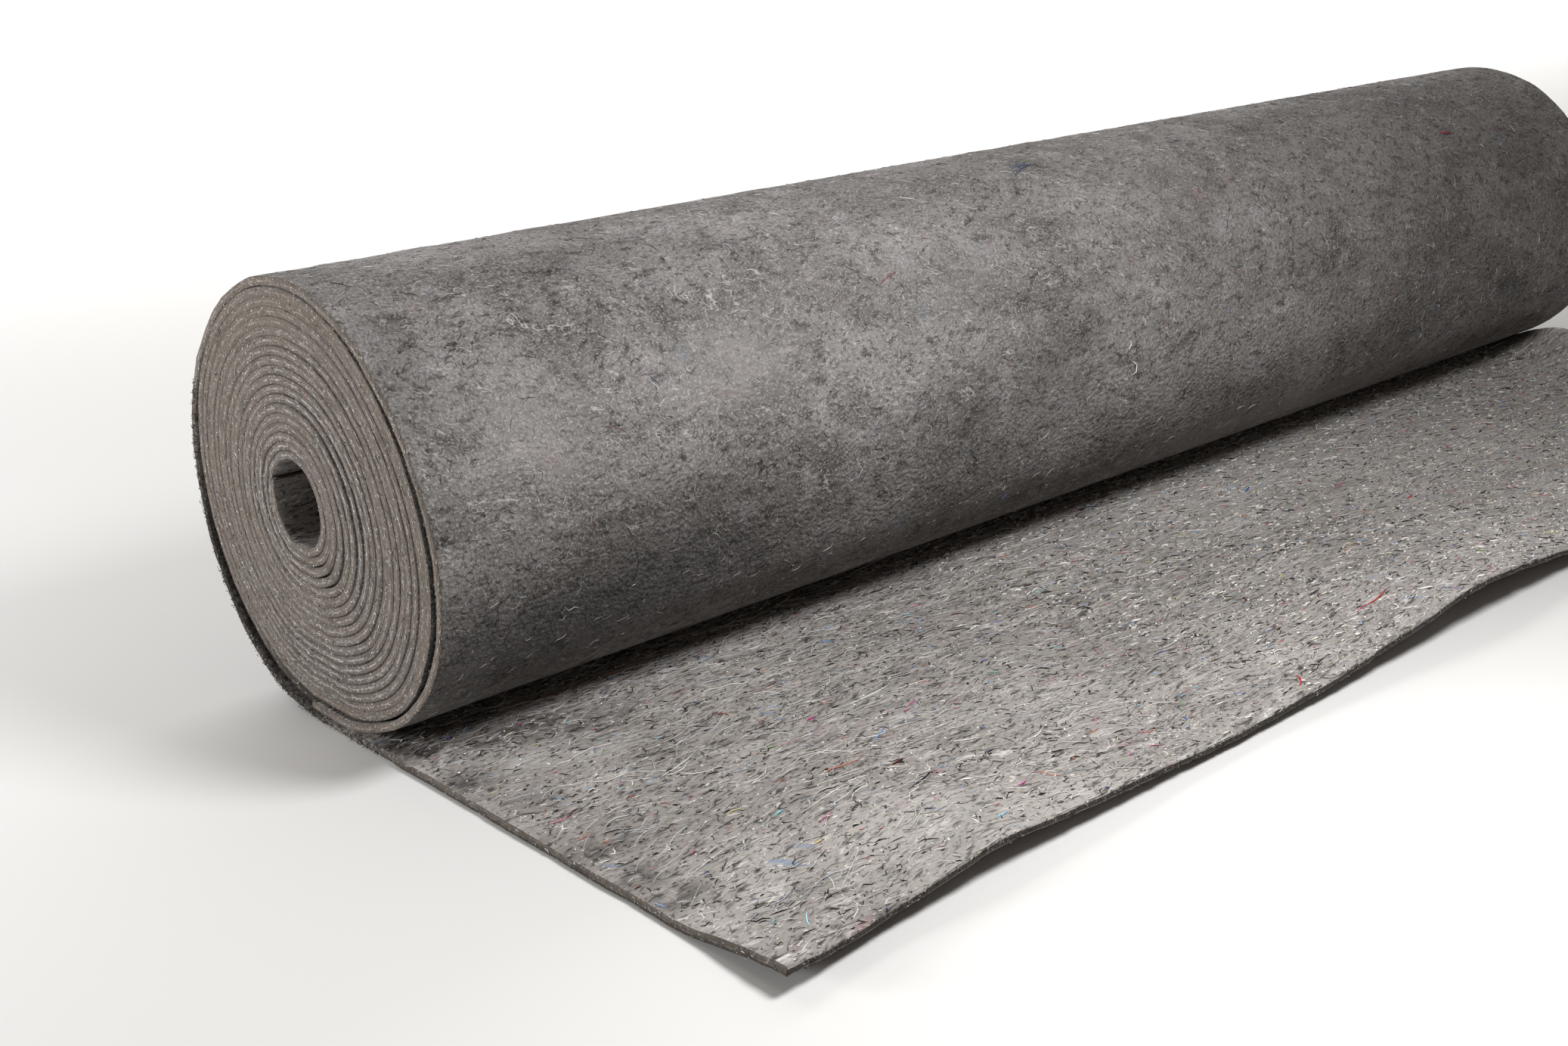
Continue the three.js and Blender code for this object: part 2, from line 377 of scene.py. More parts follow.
# How far in from a cut edge its rounding starts, in millimetres, and its points from face to face
EDGE_ROUND, EDGE_POINTS = 0.7, 7

# The steps of the two strips' grids in millimetres, with the closer places from their edges inwards
ACROSS_SHEET, ALONG_SHEET = (5.4, [0.0, 2.2, 5.2]), (5.2, [0.0, 0.25, 0.9, 2.4])
ACROSS_TURNS, ALONG_TURNS = (420, [0.0, 3.0, 12.0, 60.0]), 2.5

# The shares of the thickness in the first rows of the sheet, which round its front edge
FRONT_EDGE_SHARES = (0.5, 0.84)


def section_loop(places):
    """The closed loop round the mat's cross-section: out along one face at the given places, round the far
    edge, back along the other face and round the near edge. An edge is half an ellipse. Returns each
    point's distance from the near end, its share of the thickness, and its share of the edge's rounding."""
    half = np.pi * np.arange(EDGE_POINTS) / (EDGE_POINTS - 1)
    share = ((1 - np.cos(half)) / 2)[1:-1]
    back = (1 - np.sin(half))[1:-1]
    corners = np.zeros(len(places))
    corners[0], corners[-1] = 1, -1
    far, near = np.full(len(back), MAT_WIDTH), np.zeros(len(back))
    along = np.concatenate([places, far, places[::-1], near])
    through = np.concatenate([np.zeros(len(places)), share, np.ones(len(places)), share[::-1]])
    rounding = np.concatenate([corners, -back, corners[::-1], back[::-1]])
    return along, through, rounding


def mesh_piece(name, points, faces, materials, indices=None):
    """A mesh object from points in millimetres and faces, turned outwards by the sign of its volume."""
    points = np.asarray(points, float).reshape(-1, 3) * MM
    solid_volume = 0.0
    for group in faces:
        a, b, c = points[group[:, 0]], points[group[:, 1]], points[group[:, 2]]
        solid_volume += np.einsum("ij,ij->", a, np.cross(b, c))
        if group.shape[1] == 4:
            d = points[group[:, 3]]
            solid_volume += np.einsum("ij,ij->", a, np.cross(c, d))
    turned = [group[:, ::-1] if solid_volume < 0 else group for group in faces]
    mesh = bpy.data.meshes.new(name)
    sizes = np.concatenate([np.full(len(group), group.shape[1]) for group in turned])
    mesh.vertices.add(len(points))
    mesh.vertices.foreach_set("co", points.ravel())
    mesh.loops.add(int(sizes.sum()))
    mesh.loops.foreach_set("vertex_index", np.concatenate([g.ravel() for g in turned]).astype(np.int32))
    mesh.polygons.add(len(sizes))
    mesh.polygons.foreach_set("loop_start", np.concatenate([[0], np.cumsum(sizes)[:-1]]).astype(np.int32))
    if indices is not None:
        mesh.polygons.foreach_set("material_index", indices.astype(np.int32))
    mesh.polygons.foreach_set("use_smooth", np.ones(len(sizes), bool))
    mesh.update(calc_edges=True)
    mesh.validate()
    for material in materials:
        mesh.materials.append(material)
    piece = new_object(name, mesh)
    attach(piece, "root")
    return piece


def set_attribute(piece, name, kind, values):
    """Stores values on a piece's points for its materials to read."""
    attribute = piece.data.attributes.new(name, kind, "POINT")
    key = {"FLOAT": "value", "FLOAT_VECTOR": "vector", "FLOAT_COLOR": "color"}[kind]
    attribute.data.foreach_set(key, np.ascontiguousarray(values, np.float32).ravel())


def strip_piece(name, grid, cloth, painted_shade, pressed, loop, materials, end_index):
    """A closed strip of felt from a grid of points, one row of section_loop's points for each step along
    it. An end is a row of quads between the two faces and a fan at each edge. The two faces and the edges
    have materials 0, 1 and 2, and the two ends the given ones."""
    rows, columns = grid.shape[:2]
    through = loop[1]
    on_edge = (through > 0) & (through < 1)
    number = np.arange(rows * columns).reshape(rows, columns)
    after = np.roll(number, -1, axis=1)
    walls = np.stack([number[:-1], after[:-1], after[1:], number[1:]], -1).reshape(-1, 4)
    column_kind = np.where(on_edge | np.roll(on_edge, -1), 2, np.where(through > 0.5, 1, 0))
    kinds = np.tile(column_kind, rows - 1)
    edge = EDGE_POINTS - 2
    half = (columns - 2 * edge) // 2
    caps, fans = [], []
    for row, flip in ((0, False), (rows - 1, True)):
        lower = number[row, :half]
        upper = number[row, half + edge:2 * half + edge][::-1]
        quads = np.stack([lower[:-1], upper[:-1], upper[1:], lower[1:]], -1)
        near_fan = np.concatenate([[lower[0]], number[row, 2 * half + edge:][::-1], [upper[0]]])
        far_fan = np.concatenate([[upper[-1]], number[row, half:half + edge][::-1], [lower[-1]]])
        fans += [fan[::-1] if flip else fan for fan in (near_fan, far_fan)]
        caps.append(quads[:, ::-1] if flip else quads)
    cap_kinds = np.repeat(end_index, [len(cap) for cap in caps])
    kinds = np.concatenate([kinds, cap_kinds, np.repeat(end_index, 2)])
    piece = mesh_piece(name, grid, [walls, *caps, np.array(fans)], materials, kinds)
    set_attribute(piece, "cloth", "FLOAT_VECTOR", cloth * MM)
    set_attribute(piece, "painted_shade", "FLOAT", painted_shade)
    set_attribute(piece, "pressed", "FLOAT", pressed)
    return piece


def on_faces(through, along):
    """Whether points of section_loop lie on the mat's faces, clear of its cut edges."""
    return ((through == 0) | (through == 1)) & (along > 1) & (along < MAT_WIDTH - 1)


def graded(start, end, step, fine):
    """Places from start to end, about step apart, and closer by the list of fine distances at both ends."""
    count = int(round((end - start - 2 * fine[-1]) / step))
    middle = np.linspace(start + fine[-1], end - fine[-1], count + 1)
    return np.concatenate([start + np.array(fine[:-1]), middle, end - np.array(fine[:-1])[::-1]])


def loose_end_sheet(materials):
    """The outermost turn and the length on the floor, as one sheet: loose_end_point over a grid. The faces
    are uneven by a fraction of a millimetre, and the cut edges wander a little."""
    loop = section_loop(graded(0.0, MAT_WIDTH, *ACROSS_SHEET))
    along, through, rounding = loop
    strip = graded(0.0, LOOSE_LENGTH, *ALONG_SHEET)
    squeeze = np.ones(len(strip))
    squeeze[:len(FRONT_EDGE_SHARES)] = FRONT_EDGE_SHARES
    s, a = np.meshgrid(strip, along + EDGE_ROUND * rounding, indexing="ij")
    h = 0.5 + (through[None, :] - 0.5) * squeeze[:, None]
    on_floor = 1 - smoothstep(s, ON_ROLL - 40, ON_ROLL)
    swollen = swell(s, a)
    upper = h * (swollen * on_floor - 0.12 * np.abs(swollen) * (1 - on_floor))
    outer = -(1 - h) * np.abs(swollen) * off_floor(s)
    wander = 0.35 * unevenness(a, s, 22, 13) + 0.2 * unevenness(a, s, 6, 14)
    points = loose_end_point(s, a, h * MAT_THICKNESS + upper + outer)
    points[..., 0] += 0.8 * wander * ((a < 3) * 1.0 - (a > MAT_WIDTH - 3))
    points[..., 1] += wander * (s < 1.0) + 0.5 * wander * ((s >= 1.0) & (s < 3))
    cloth = np.stack([a, s, h * MAT_THICKNESS], -1)
    # Painted shade: the outermost turn's inner face on the roll, which looks into the gap round the wound
    # turns; the band within 18 millimetres of the near end where the sheet rises off the floor at the back
    # and below the roll, shaded in its recess; and the near cut edge on the floor, darker towards the floor.
    inside = (through[None, :] > 0) * smoothstep(s, ON_ROLL + 10, ON_ROLL + 60)
    low_back = smoothstep(s, ON_ROLL - 30, ON_ROLL - 5) * (1 - smoothstep(s, ON_ROLL + 110, ON_ROLL + 200))
    painted_shade = np.maximum(low_back * (1 - smoothstep(a, 5, 18)) * (through > 0), inside * on_faces(through, a))
    low_side = np.interp(through, [0, 0.25, 0.5, 0.75, 1], [0.9, 0.9, 0.7, 0.3, 0.0])
    near_edge = (through > 0) * (a < 3)
    painted_shade = np.maximum(painted_shade, low_side * near_edge * (1 - smoothstep(s, ON_ROLL - 60, ON_ROLL - 30)))
    pressed = np.full(painted_shade.shape, 0.7)
    piece = strip_piece("loose_end_sheet", points, cloth, painted_shade, pressed, loop, materials, (3, 2))
    set_attribute(piece, "tone_and_painted_light", "FLOAT", tone_and_painted_light(s, a))
    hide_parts("loose_end")


# The way along the wound line at close turns, and its whole length
FINE_TURN = np.linspace(0, WOUND_TURNS, 12000)
FINE_LENGTH = np.concatenate([[0], np.cumsum(np.hypot(*np.diff(wound_point(FINE_TURN, 0.0))))])
WOUND_LENGTH = FINE_LENGTH[-1]


def telescoped(turn, length):
    """How far the turns stand out of the near end: slow waves over the turns, and quick ones along them."""
    apart = separation(turn)
    slow = 0.3 * np.sin(2.1 * turn + 0.6) + 0.3 * apart * np.sin(5.3 * turn)
    return slow + (0.06 + 0.1 * apart) * unevenness(length, 0 * length, 9, 21)


def near_face(through, length, rise):
    """A point that stands off the wound turns' cut ends, told through the felt and along the wound strip."""
    turn = np.interp(length, FINE_LENGTH, FINE_TURN)
    y, z = wound_point(turn, through)
    return np.stack([near_end(ROLL_LEAN, z) - telescoped(turn, length) - rise, y, z], -1)


def wound_turns(materials):
    """All the turns inside the outermost one, as one long strip wound inwards: wound_point over the turns.
    The near end leans back as the solid does, and each turn stands a little out or in from the others. The
    cut ends are rounder where the turns stand apart."""
    loop = section_loop(graded(0.0, MAT_WIDTH, *ACROSS_TURNS))
    along, through, rounding = loop
    places = np.linspace(0, WOUND_LENGTH, int(WOUND_LENGTH / ALONG_TURNS))
    turn = np.interp(places, FINE_LENGTH, FINE_TURN)
    apart = separation(turn)
    t = np.broadcast_to(turn[:, None], (len(turn), len(along)))
    a = along + (0.1 + 0.5 * apart[:, None]) * EDGE_ROUND * rounding
    h = np.broadcast_to(through, t.shape)
    y, z = wound_point(t, h * wound_thickness(t))
    out = telescoped(turn, places)[:, None]
    near = near_end(ROLL_LEAN, z) - out * (a < MAT_WIDTH / 2)
    far = FAR_END - 0.4 - out[::-1] * (a > MAT_WIDTH / 2) * 0.6
    x = near + (far - near) * a / MAT_WIDTH
    cloth = np.stack([a, np.broadcast_to(LOOSE_LENGTH + places[:, None], t.shape), h * MAT_THICKNESS], -1)
    pressed = np.broadcast_to(1 - apart[:, None], t.shape)
    # Painted shade: the wound turns' faces, which show only in the gaps between turns, in full; the hole's
    # wall, the innermost turn's inner face, by 0.35; and the start of the strip within 18 millimetres of the
    # near end, under the outermost turn.
    in_hole = (through == 1) * smoothstep(t, WOUND_TURNS - 1.02, WOUND_TURNS - 1)
    start = (1 - smoothstep(places, 15, 90))[:, None] * (a < 18)
    painted_shade = np.maximum(np.maximum(on_faces(through, a) * (1 - in_hole), 0.35 * in_hole), start)
    grid = np.stack([x, y, z], -1)
    piece = strip_piece("wound_turns", grid, cloth, painted_shade, pressed, loop, materials, (2, 2))
    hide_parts("wound_roll")


# The points along most threads, and the angles of a thread's three sides
THREAD_POINTS = 4
THREAD_SIDES = np.radians([90, 210, 330])


def scattered(draw, count, u, v, length, heading, bend, radius, rise, dyes):
    """Random threads over a stretch of a face: places spread evenly, more of them short than long, headings
    and bends by bell curves, and a dye for each from (colour, share) rows."""
    colours = np.array([to_linear(colour) for colour, _ in dyes])
    shares = np.array([share for _, share in dyes])
    dye = colours[draw.choice(len(dyes), count, p=shares / shares.sum())]
    return {
        "u": draw.uniform(*u, count), "v": draw.uniform(*v, count),
        "length": length[0] + (length[1] - length[0]) * draw.uniform(0, 1, count) ** 2.5,
        "heading": draw.normal(*heading, count), "bend": draw.normal(0, bend, count),
        "swing": draw.normal(0, 0.5, count), "radius": draw.uniform(*radius, count),
        "rise": draw.uniform(*rise, count), "dye": dye * draw.uniform(0.8, 1.15, count)[:, None],
    }


def groups(draw, *rows):
    """A group of random threads from each row of scattered's values, drawn in the rows' order."""
    return [scattered(draw, *row) for row in rows]


def chosen(rows):
    """Threads from a table of (u, v, length, heading, bend, radius, rise, dye) rows."""
    columns = list(zip(*rows))
    made = dict(zip(("u", "v", "length", "heading", "bend", "radius", "rise"), map(np.array, columns)))
    return {**made, "swing": np.zeros(len(rows)), "dye": np.array([to_linear(dye) for dye in columns[-1]])}


def threads(name, place, parts, points=THREAD_POINTS):
    """Loose threads as three-sided tubes, joined. A thread's line starts at (u, v) on a face and runs along
    a heading that turns evenly by bend and swings by a sine. It stands off the face by rise times the sine
    of half a turn, and its radius shrinks by the root of that sine to three tenths at its ends."""
    made = {key: np.concatenate([part[key] for part in parts]) for key in parts[0]}
    column = {key: value[:, None] for key, value in made.items() if key != "dye"}
    t = np.linspace(0, 1, points)
    angle = column["heading"] + column["bend"] * (t - 0.5) + column["swing"] * np.sin(2 * np.pi * t)
    step = column["length"] / (points - 1)
    arch = np.sin(np.pi * t)
    u = column["u"] + np.cumsum(np.sin(angle) * step, axis=1)
    v = column["v"] + np.cumsum(np.cos(angle) * step, axis=1)
    rise = column["radius"] * 0.4 + column["rise"] * arch
    line = place(u, v, rise)
    normal = place(u, v, rise + 1) - line
    side = np.cross(np.gradient(line, axis=1), normal)
    side /= np.linalg.norm(side, axis=2, keepdims=True)
    radius = (column["radius"] * (0.3 + 0.7 * np.sqrt(arch)))[..., None, None]
    cosine, sine = np.cos(THREAD_SIDES)[:, None], np.sin(THREAD_SIDES)[:, None]
    rings = line[:, :, None] + radius * (cosine * side[:, :, None] + sine * normal[:, :, None])
    number = np.arange(rings[..., 0].size).reshape(rings.shape[:3])
    after = np.roll(number, -1, axis=2)
    walls = np.stack([number[:, :-1], after[:, :-1], after[:, 1:], number[:, 1:]], -1).reshape(-1, 4)
    tips = np.concatenate([number[:, 0, ::-1], number[:, -1]])
    piece = mesh_piece(name, rings, [walls, tips], [bpy.data.materials["loose_dyed_fibres"]])
    set_attribute(piece, "dye", "FLOAT_COLOR", np.repeat(made["dye"], points * 3, axis=0))


LIGHT_DYES = [("#b4b1ad", 5), ("#c9c6c2", 4), ("#a09c98", 3), ("#dcd9d6", 2), ("#a9b0bb", 1)]
DARK_DYES = [("#1f1c1a", 5), ("#332e2b", 4), ("#1b1a21", 1), ("#443c37", 2)]
BRIGHT_DYES = [
    ("#8aa9cf", 3), ("#84b3bb", 1), ("#a8605a", 2), ("#b5816f", 3), ("#b98294", 3), ("#b05f88", 1),
    ("#566aa4", 2), ("#beb38a", 1), ("#573022", 1), ("#84a077", 1), ("#232844", 3), ("#9c8b86", 3),
]
WHITE_DYES = [("#f4f2f0", 1), ("#dcd9d6", 1)]
TUFT_DYES = [("#dfdbd5", 3), ("#c6c2bc", 4), ("#aeaaa5", 3), ("#9aa3b0", 1)]

# The threads listed on the mat. Columns: place on the strip, place along, length, heading in radians
# from the mat's width, bend, radius, rise, dye
THREADS_ON_MAT = [
    (25, 38, 12, -2.36, 0.6, 0.40, 0.2, "#a9cfde"), (57, 70, 5, 0.0, 0.2, 0.45, 0.1, "#c9bb80"),
    (91, 438, 8, 0.2, 0.2, 0.45, 0.1, "#c9bb80"), (82, 139, 8, 0.1, 0.2, 0.80, 0.1, "#4a2a20"),
    (88, 77, 6, 0.1, 0.1, 0.45, 0.1, "#7fc6cc"), (13, 127, 9, 0.1, 0.1, 0.40, 0.1, "#7fc0d8"),
    (147, 150, 6, 0.0, 0.4, 0.50, 0.1, "#b02d72"), (29, 160, 6, 0.1, 0.4, 0.50, 0.1, "#b8508c"),
    (31, 415, 10, 0.2, 0.4, 0.50, 0.1, "#b95a80"), (102, 112, 20, -0.15, 0.3, 0.45, 0.2, "#b07665"),
    (105, 149, 20, 0.46, 0.2, 0.45, 0.2, "#6f92c4"), (197, 556, 12, 0.2, 0.5, 0.70, 0.1, "#3f63a8"),
    (34, 417, 26, 0.0, 0.5, 0.50, 0.2, "#b5504c"), (120, 612, 9, 0.1, 0.5, 0.60, 0.1, "#b03038"),
    (6, 329, 12, 0.6, 0.8, 0.60, 0.2, "#b03a3e"), (148, 163, 36, 0.03, 0.3, 0.45, 0.2, "#cfd0cc"),
    (57, 119, 23, 0.26, 0.3, 0.40, 0.2, "#262328"), (205, 300, 12, 0.3, 1.2, 0.35, 0.4, "#d8d5d2"),
    (150, 60, 30, 0.25, 0.4, 0.40, 0.2, "#c8c5c2"), (60, 200, 14, 0.2, 0.9, 0.35, 0.3, "#e2e0dd"),
]
# And those on the roll, with their place in degrees round it. The other columns are the same
THREADS_ON_ROLL = [
    (158.8, 92, 11, 0.3, 0.8, 0.40, 0.0, "#87686f"), (148.7, 120, 12, 0.1, 0.8, 0.40, 0.0, "#82696f"),
    (146.7, 124, 9, 0.9, 0.5, 0.40, 0.0, "#707a86"), (112.0, 425, 24, -0.5, 0.6, 0.50, 0.0, "#4b5670"),
    (106.0, 432, 18, -0.2, 0.9, 0.50, 0.0, "#505f7a"), (140.0, 279, 16, -0.4, 0.4, 0.45, 0.0, "#8a5654"),
    (128.3, 827, 12, 0.1, 0.5, 0.80, 0.0, "#98404a"), (179.7, 446, 11, 1.3, 2.6, 0.32, 1.0, "#e6e4e1"),
    (172.0, 449, 8, 2.2, 1.8, 0.30, 0.6, "#dedbd8"), (122.0, 75, 7, 1.2, 0.8, 0.28, 0.4, "#d6d3d0"),
]


def threads_on_mat(draw):
    """The threads that lie on the mat in front of the roll, mostly along its width."""
    reach = (1.0, ON_ROLL - 8)
    width = (2.0, MAT_WIDTH - 27)
    far_half, near_part = (330, MAT_WIDTH - 12), (2, 330)
    threads("light_threads_on_mat", upper_face, groups(
        draw,
        (5600, reach, width, (2.5, 26), (0.1, 0.38), 0.8, (0.1, 0.26), (0, 0.45), LIGHT_DYES),
        (1300, reach, width, (0.6, 1.7), (0.1, 0.9), 0.9, (0.28, 0.5), (0, 0.1), WHITE_DYES),
        (260, reach, near_part, (20, 48), (0.1, 0.35), 0.7, (0.14, 0.26), (0, 0.6), LIGHT_DYES),
    ), 5)
    threads("light_tufts_on_mat", upper_face, groups(
        draw,
        (3500, reach, far_half, (2.5, 9), (0.1, 0.4), 0.9, (0.32, 0.65), (0, 0.3), TUFT_DYES),
        (1100, reach, far_half, (0.8, 2.2), (0.1, 0.9), 0.9, (0.35, 0.65), (0, 0.1), WHITE_DYES),
        (1000, reach, near_part, (1.5, 7), (0.2, 0.5), 1.2, (0.2, 0.42), (0, 0.3), TUFT_DYES),
    ))
    threads("dark_threads_on_mat", upper_face, groups(
        draw,
        (4600, reach, width, (1.5, 10), (0.1, 0.5), 0.9, (0.12, 0.32), (0, 0.2), DARK_DYES),
        (600, reach, far_half, (2, 8), (0.1, 0.5), 0.9, (0.28, 0.5), (0, 0.1), DARK_DYES),
        (500, reach, near_part, (1.5, 6), (0.1, 0.5), 0.9, (0.25, 0.42), (0, 0.1), DARK_DYES),
    ))
    threads("bright_threads_on_mat", upper_face, groups(
        draw,
        (1000, reach, width, (1.5, 12), (0.1, 0.6), 1.0, (0.16, 0.42), (0, 0.3), BRIGHT_DYES),
    ) + [chosen(THREADS_ON_MAT)])


def threads_on_roll(draw):
    """The thin loose hairs on the outside of the roll, in every heading, and the few listed."""
    reach = (ON_ROLL + 45, ON_ROLL + 560)
    width = (2.0, MAT_WIDTH - 12)
    told = [(ON_ROLL + np.radians(row[0] - FIRST_ANGLE) * MEAN_RADIUS, *row[1:]) for row in THREADS_ON_ROLL]
    threads("threads_on_roll", outer_face, groups(
        draw,
        (3000, reach, width, (2, 11), (0.2, 0.9), 1.4, (0.07, 0.15), (0, 0.3), LIGHT_DYES),
        (3000, reach, width, (2, 10), (0, 0.9), 1.4, (0.08, 0.18), (0, 0.15), DARK_DYES),
        (130, reach, width, (1.5, 7), (0.3, 1.0), 1.4, (0.12, 0.25), (0, 0.2), BRIGHT_DYES),
    ) + [chosen(told)])


def near_rim(strip, height, rise):
    """A point that stands off the loose end's near cut edge, at a height in the felt."""
    point = loose_end_point(strip, 0 * strip, np.clip(height, 0.2, MAT_THICKNESS + 0.5))
    return point - np.stack([rise, 0 * rise, 0 * rise], -1)


def front_rim(height, along, rise):
    """A point that stands off the loose end's front cut edge, at a height in the felt."""
    point = loose_end_point(0 * along, along, np.clip(height, 0.2, MAT_THICKNESS + 0.5))
    return point - np.stack([0 * rise, rise, 0 * rise], -1)


def threads_on_edges(draw):
    """The fuzz of fibres that the knife left on the loose end's cut edges."""
    low_back = (ON_ROLL - 60, ON_ROLL + 190)
    depth = (0.3, MAT_THICKNESS - 0.3)
    threads("threads_on_near_edge", near_rim, groups(
        draw,
        (500, low_back, depth, (0.8, 3.5), (0.8, 0.8), 1.2, (0.08, 0.2), (0.2, 1.2), DARK_DYES),
        (160, low_back, depth, (0.6, 2.5), (0.8, 0.8), 1.2, (0.08, 0.18), (0.1, 0.8), LIGHT_DYES),
        (500, (5, 900), depth, (0.6, 2.5), (1.4, 0.4), 0.8, (0.08, 0.16), (0, 0.3), LIGHT_DYES),
    ))
    threads("threads_on_front_edge", front_rim, groups(
        draw,
        (900, depth, (5, 994), (0.8, 3.5), (0.1, 0.7), 1.2, (0.08, 0.2), (0.1, 0.8), DARK_DYES),
        (260, depth, (5, 995), (0.6, 2.5), (0.1, 0.7), 1.2, (0.08, 0.18), (0, 0.5), LIGHT_DYES),
    ))


def threads_on_near_end(draw):
    """The broken light crests of fibre on the cut ends of the wound turns."""
    middle = (1.2, MAT_THICKNESS - 1.2)
    whole = (0, WOUND_LENGTH - 8)
    light = scattered(draw, 5200, middle, whole, (1, 6), (0, 0.1), 0.4, (0.08, 0.17), (0, 0.2), LIGHT_DYES)
    apart = separation(np.interp(light["v"], FINE_LENGTH, FINE_TURN))
    shows = apart > draw.uniform(0, 0.75, len(apart))
    light = {key: value[shows] for key, value in light.items()}
    threads("threads_on_near_end", near_face, [light] + groups(
        draw,
        (420, middle, whole, (0.5, 1.4), (0, 0.9), 0.8, (0.2, 0.34), (0, 0.1), WHITE_DYES),
        (500, middle, whole, (1, 5), (0, 0.5), 0.8, (0.06, 0.14), (0, 0.2), DARK_DYES),
        (60, middle, whole, (1, 3), (0, 0.5), 0.8, (0.15, 0.28), (0, 0.2), BRIGHT_DYES),
    ))


def to_linear(colour):
    """An sRGB hex colour as linear red, green, blue and alpha."""
    parts = np.array([int(colour[i:i + 2], 16) for i in (1, 3, 5)]) / 255
    linear = np.where(parts <= 0.04045, parts / 12.92, ((parts + 0.055) / 1.055) ** 2.4)
    return (*linear, 1.0)


def add(tree, kind, inputs, output=0, **settings):
    """Adds one node and returns its output of that name or number: settings are its properties, and inputs
    its sockets by name or number, each a value or the output of another node."""
    made = tree.nodes.new("ShaderNode" + kind)
    for name, value in settings.items():
        setattr(made, name, value)
    for key, value in inputs.items():
        if isinstance(value, bpy.types.NodeSocket):
            tree.links.new(value, made.inputs[key])
        else:
            made.inputs[key].default_value = value
    return made.outputs[output]


def new_material(name):
    """A material with one Principled shader, and that shader."""
    material = bpy.data.materials.new(name)
    material.use_nodes = True
    return material, material.node_tree.nodes["Principled BSDF"]


def cloud(tree, place, size, low, high, detail=2.0, stretch=(1, 1, 1), turn=0.0):
    """A cloudy pattern with blotches of a size in millimetres, 0 below low and 1 above high. stretch makes
    the blotches longer each way, and turn turns them on the mat."""
    scale = tuple(1 / (size * MM * x) for x in stretch)
    turned = add(tree, "Mapping", {"Vector": place, "Rotation": (0, 0, turn)})
    sized = add(tree, "Mapping", {"Vector": turned, "Scale": scale})
    noise = add(tree, "TexNoise", {"Vector": sized, "Scale": 1.0, "Detail": detail})
    shown = {"Value": noise, "From Min": low, "From Max": high}
    return add(tree, "MapRange", shown, interpolation_type="SMOOTHSTEP")


def hairs(tree, place, size, length, thin, turn, cover):
    """Thin curved lines, as of loose fibres: the ridges of a stretched noise, where a second noise lets them
    show. thin is how much of the noise's range a line takes, and cover where the second noise starts."""
    turned = add(tree, "Mapping", {"Vector": place, "Rotation": (0, 0, turn)})
    scale = (1 / (size * MM * length), 1 / (size * MM), 1 / (size * MM))
    sized = add(tree, "Mapping", {"Vector": turned, "Scale": scale})
    noise = add(tree, "TexNoise", {"Vector": sized, "Scale": 1.0, "Detail": 1.0})
    off = add(tree, "Math", {0: noise, 1: 0.5}, operation="SUBTRACT")
    ridge = add(tree, "Math", {0: off}, operation="ABSOLUTE")
    line = add(tree, "MapRange", {"Value": ridge, "From Max": thin, "To Min": 1.0, "To Max": 0.0})
    shows = cloud(tree, place, size * 2.2, cover, cover + 0.08, 2.0, (length * 0.6, 1, 1), turn)
    return add(tree, "Math", {0: line, 1: shows}, operation="MULTIPLY")


def layered(tree, colour, *rows):
    """A colour with others laid over it in turn. A row has a hex colour, a pattern from 0 to 1 that says
    where it lies, and an amount."""
    for laid, pattern, amount in rows:
        share = add(tree, "Math", {0: pattern, 1: amount}, operation="MULTIPLY")
        colour = add(tree, "Mix", {0: share, 6: colour, 7: to_linear(laid)}, 2, data_type="RGBA")
    return colour


def felt_shader(tree, shader, colour, relief, strength, distance):
    """Sets a felt's colour and relief: rough, hardly glossy, with the soft sheen of loose fibres."""
    bump = add(tree, "Bump", {"Strength": strength, "Distance": distance * MM, "Height": relief})
    tree.links.new(colour, shader.inputs["Base Color"])
    tree.links.new(bump, shader.inputs["Normal"])
    sheen = {"Sheen Weight": 0.03, "Sheen Roughness": 0.6}
    for name, value in {"Roughness": 0.96, "Specular IOR Level": 0.12, **sheen}.items():
        shader.inputs[name].default_value = value


def mat_place(tree):
    """The place on the mat, and the same place shifted about by a slow noise, so that fibres drift."""
    place = add(tree, "Attribute", {}, "Vector", attribute_name="cloth")
    slow = add(tree, "TexNoise", {"Vector": place, "Scale": 14.0, "Detail": 1.0}, "Color")
    centred = add(tree, "VectorMath", {0: slow, 1: (0.5, 0.5, 0.5)}, operation="SUBTRACT")
    shift = add(tree, "VectorMath", {0: centred, "Scale": 26 * MM}, operation="SCALE")
    return place, add(tree, "VectorMath", {0: place, 1: shift}, operation="ADD")


def with_painted_shade(tree, colour, dark):
    """The colour darkened by painted shade where the piece's attribute of painted shade says, and a little
    less so in patches.
    """
    painted_shade = add(tree, "Attribute", {}, "Fac", attribute_name="painted_shade")
    place = add(tree, "Attribute", {}, "Vector", attribute_name="cloth")
    patches = cloud(tree, place, 2.2, 0.3, 0.7, 3.0)
    patchy = add(tree, "MapRange", {"Value": patches, "To Min": 1.0, "To Max": 0.72})
    both = add(tree, "Math", {0: painted_shade, 1: patchy}, operation="MULTIPLY")
    return layered(tree, colour, (dark, both, 0.85))


def with_tone_and_painted_light(tree, colour, light, dark, broken=1.0):
    """The colour made lighter or darker where the piece's attribute of tone and painted light says, the
    darker part broken: painted light and shade as well as clouds.
    """
    told = add(tree, "Attribute", {}, "Fac", attribute_name="tone_and_painted_light")
    lighter = add(tree, "Math", {0: told, 1: 0.0}, operation="MAXIMUM")
    darker = add(tree, "Math", {0: told, 1: -1.0}, operation="MULTIPLY", use_clamp=True)
    broken_darker = add(tree, "Math", {0: darker, 1: broken}, operation="MULTIPLY")
    return layered(tree, colour, (light, lighter, 1.0), (dark, broken_darker, 1.0))


